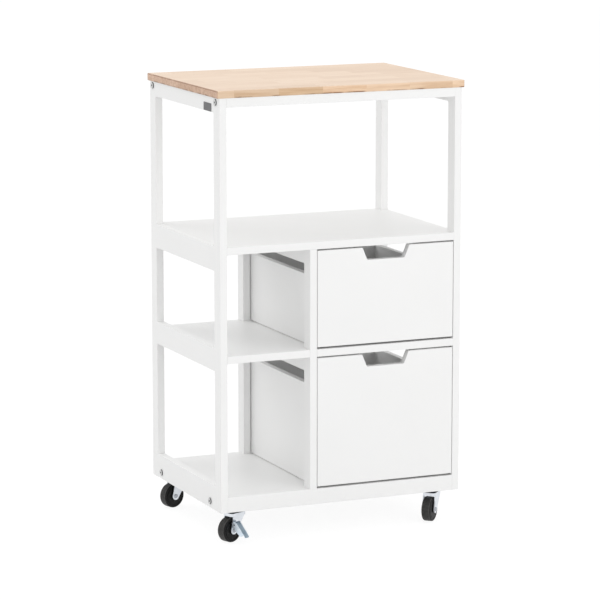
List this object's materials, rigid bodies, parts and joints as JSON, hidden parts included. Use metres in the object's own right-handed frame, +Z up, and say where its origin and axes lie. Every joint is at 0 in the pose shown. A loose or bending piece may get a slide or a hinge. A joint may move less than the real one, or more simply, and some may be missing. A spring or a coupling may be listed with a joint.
{
  "type": "kitchen island cart",
  "caption": "Narrow white kitchen island cart with a rubberwood worktop, open shelves on the left, deep inset drawers on the right, and swivel casters, some with a brake.",
  "frame": {"origin": "on the floor under the middle of the cart's footprint", "axes": "+Z up, the drawers face -Y, +X to the right as seen from the front"},
  "size_m": [0.53, 0.4101, 0.9],
  "materials": {
    "white_lacquer": "satin white lacquer on board",
    "rubberwood": "clear oiled edge-glued rubberwood",
    "beech_dowel": "plain beech",
    "glide_plastic": "smooth",
    "wheel_plastic": "satin black",
    "zinc_sheet": "bright zinc plate",
    "bright_steel": "nickel plate"
  },
  "bodies": {
    "frame": {"barrel_nuts": "bright_steel", "base_rail_front": "white_lacquer", "base_rail_left": "white_lacquer", "base_rail_right": "white_lacquer", "bottom_shelf": "white_lacquer", "caster_batten_back": "white_lacquer", "caster_batten_front": "white_lacquer", "caster_plates": "zinc_sheet", "caster_screws": "bright_steel", "divider_post_back": "white_lacquer", "divider_post_front": "white_lacquer", "divider_rail_lower": "white_lacquer", "divider_rail_upper": "white_lacquer", "dowels": "beech_dowel", "furniture_bolts": "bright_steel", "kingpins": "bright_steel", "leg_back_left": "white_lacquer", "leg_back_right": "white_lacquer", "leg_front_left": "white_lacquer", "leg_front_right": "white_lacquer", "middle_rail_left": "white_lacquer", "middle_rail_right": "white_lacquer", "middle_shelf": "white_lacquer", "top_rail_back": "white_lacquer", "top_rail_front": "white_lacquer", "top_rail_left": "white_lacquer", "top_rail_right": "white_lacquer", "upper_rail_left": "white_lacquer", "upper_rail_right": "white_lacquer", "upper_shelf": "white_lacquer", "worktop": "rubberwood", "worktop_screws": "bright_steel"},
    "upper_drawer": {"upper_drawer_back": "white_lacquer", "upper_drawer_bottom": "white_lacquer", "upper_drawer_front": "white_lacquer", "upper_drawer_glides": "glide_plastic", "upper_drawer_side_left": "white_lacquer", "upper_drawer_side_right": "white_lacquer"},
    "lower_drawer": {"lower_drawer_back": "white_lacquer", "lower_drawer_bottom": "white_lacquer", "lower_drawer_front": "white_lacquer", "lower_drawer_glides": "glide_plastic", "lower_drawer_side_left": "white_lacquer", "lower_drawer_side_right": "white_lacquer"},
    "fork_front_left": {"brake_pin_front_left": "bright_steel", "caster_axle_front_left": "bright_steel", "caster_fork_front_left": "zinc_sheet"},
    "wheel_front_left": {"caster_wheel_front_left": "wheel_plastic"},
    "brake_front_left": {"brake_lever_front_left": "zinc_sheet"},
    "fork_front_right": {"caster_axle_front_right": "bright_steel", "caster_fork_front_right": "zinc_sheet"},
    "wheel_front_right": {"caster_wheel_front_right": "wheel_plastic"},
    "fork_back_left": {"caster_axle_back_left": "bright_steel", "caster_fork_back_left": "zinc_sheet"},
    "wheel_back_left": {"caster_wheel_back_left": "wheel_plastic"},
    "fork_back_right": {"brake_pin_back_right": "bright_steel", "caster_axle_back_right": "bright_steel", "caster_fork_back_right": "zinc_sheet"},
    "wheel_back_right": {"caster_wheel_back_right": "wheel_plastic"},
    "brake_back_right": {"brake_lever_back_right": "zinc_sheet"}
  },
  "joints": [
    {"name": "upper_drawer_slide", "type": "slide", "parent": "frame", "child": "upper_drawer", "axis": [0, -1, 0], "range_m": [0, 0.25]},
    {"name": "lower_drawer_slide", "type": "slide", "parent": "frame", "child": "lower_drawer", "axis": [0, -1, 0], "range_m": [0, 0.25]},
    {"name": "swivel_front_left", "type": "hinge", "parent": "frame", "child": "fork_front_left", "pos_m": [-0.217, -0.152, 0.06], "axis": [0, 0, 1], "continuous": true},
    {"name": "roll_front_left", "type": "hinge", "parent": "fork_front_left", "child": "wheel_front_left", "pos_m": [-0.22998, -0.15724, 0.025], "axis": [0.3746, -0.9272, 0], "continuous": true},
    {"name": "brake_lift_front_left", "type": "hinge", "parent": "fork_front_left", "child": "brake_front_left", "pos_m": [-0.22238, -0.17607, 0.038], "axis": [-0.9272, -0.3746, 0], "range_deg": [0, 28]},
    {"name": "swivel_front_right", "type": "hinge", "parent": "frame", "child": "fork_front_right", "pos_m": [0.217, -0.152, 0.06], "axis": [0, 0, 1], "continuous": true},
    {"name": "roll_front_right", "type": "hinge", "parent": "fork_front_right", "child": "wheel_front_right", "pos_m": [0.2071, -0.1619, 0.025], "axis": [0.7071, -0.7071, 0], "continuous": true},
    {"name": "swivel_back_left", "type": "hinge", "parent": "frame", "child": "fork_back_left", "pos_m": [-0.217, 0.161, 0.06], "axis": [0, 0, 1], "continuous": true},
    {"name": "roll_back_left", "type": "hinge", "parent": "fork_back_left", "child": "wheel_back_left", "pos_m": [-0.23039, 0.15691, 0.025], "axis": [0.2924, -0.9563, 0], "continuous": true},
    {"name": "swivel_back_right", "type": "hinge", "parent": "frame", "child": "fork_back_right", "pos_m": [0.217, 0.161, 0.06], "axis": [0, 0, 1], "continuous": true},
    {"name": "roll_back_right", "type": "hinge", "parent": "fork_back_right", "child": "wheel_back_right", "pos_m": [0.23016, 0.15621, 0.025], "axis": [0.342, 0.9397, 0], "continuous": true},
    {"name": "brake_lift_back_right", "type": "hinge", "parent": "fork_back_right", "child": "brake_back_right", "pos_m": [0.2371, 0.17529, 0.038], "axis": [0.9397, -0.342, 0], "range_deg": [0, 28]}
  ]
}
